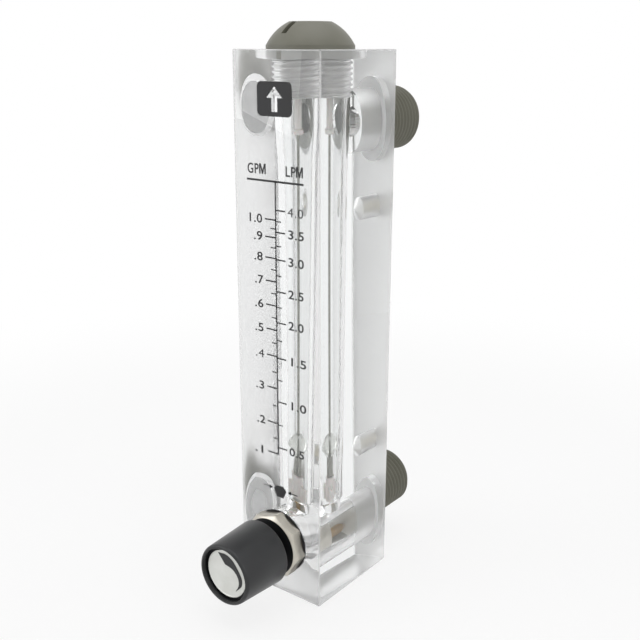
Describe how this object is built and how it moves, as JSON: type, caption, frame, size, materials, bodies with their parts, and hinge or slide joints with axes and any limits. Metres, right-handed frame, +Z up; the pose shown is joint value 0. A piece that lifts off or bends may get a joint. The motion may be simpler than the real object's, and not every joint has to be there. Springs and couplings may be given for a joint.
{
  "type": "rotameter",
  "caption": "Panel flow meter: clear upright block with a tapered bore, guided float, needle valve with knob in front and two threaded pipe ports behind.",
  "frame": {"origin": "centre of the meter block's bottom face", "axes": "+Z up along the tapered bore; -Y towards the user, through the scale and the knob; +Y out of the back, along both pipe ports"},
  "size_m": [0.032, 0.0877, 0.1776],
  "materials": {
    "clear_acrylic": "polished clear cast acrylic",
    "grey_plastic": "dark olive-grey moulded ABS, satin",
    "black_rubber": "black nitrile rubber",
    "stainless_steel": "drawn stainless steel",
    "white_plastic": "natural white acetal",
    "float_plastic": "smoke-grey turned float, polished",
    "nickel_plate": "satin nickel plate on brass",
    "brass": "turned brass",
    "black_plastic": "black moulded plastic, fine satin",
    "silver_cap": "satin anodised aluminium",
    "insert_brass": "turned brass, tin plated"
  },
  "bodies": {
    "meter": {"meter_body": "clear_acrylic", "inlet_nipple": "grey_plastic", "inlet_seal": "black_rubber", "outlet_nipple": "grey_plastic", "outlet_seal": "black_rubber", "top_plug": "grey_plastic", "top_plug_seal": "black_rubber", "guide_rod": "stainless_steel", "rod_foot": "white_plastic", "float_stop_lower": "stainless_steel", "float_stop_upper": "white_plastic", "valve_bonnet": "nickel_plate", "bonnet_gasket": "black_rubber", "mounting_insert_lower": "insert_brass", "mounting_insert_upper": "insert_brass"},
    "float_body": {"float": "float_plastic"},
    "valve_carriage": {"stem_seal": "black_rubber"},
    "valve_turning": {"valve_stem": "brass", "knob": "black_plastic", "knob_cap": "silver_cap", "knob_screw": "stainless_steel"}
  },
  "joints": [
    {"name": "float_rise", "type": "slide", "parent": "meter", "child": "float_body", "axis": [0, 0, 1], "range_m": [0, 0.0934]},
    {"name": "valve_rise", "type": "slide", "parent": "meter", "child": "valve_carriage", "axis": [0, -1, 0], "range_m": [0, 0.0034]},
    {"name": "knob_turn", "type": "hinge", "parent": "valve_carriage", "child": "valve_turning", "pos_m": [0, 0, 0.0183], "axis": [0, -1, 0], "range_deg": [0, 1080]}
  ],
  "couplings": [
    {"joint": "valve_rise", "follows": "knob_turn", "m_per_rad": 0.000159}
  ]
}
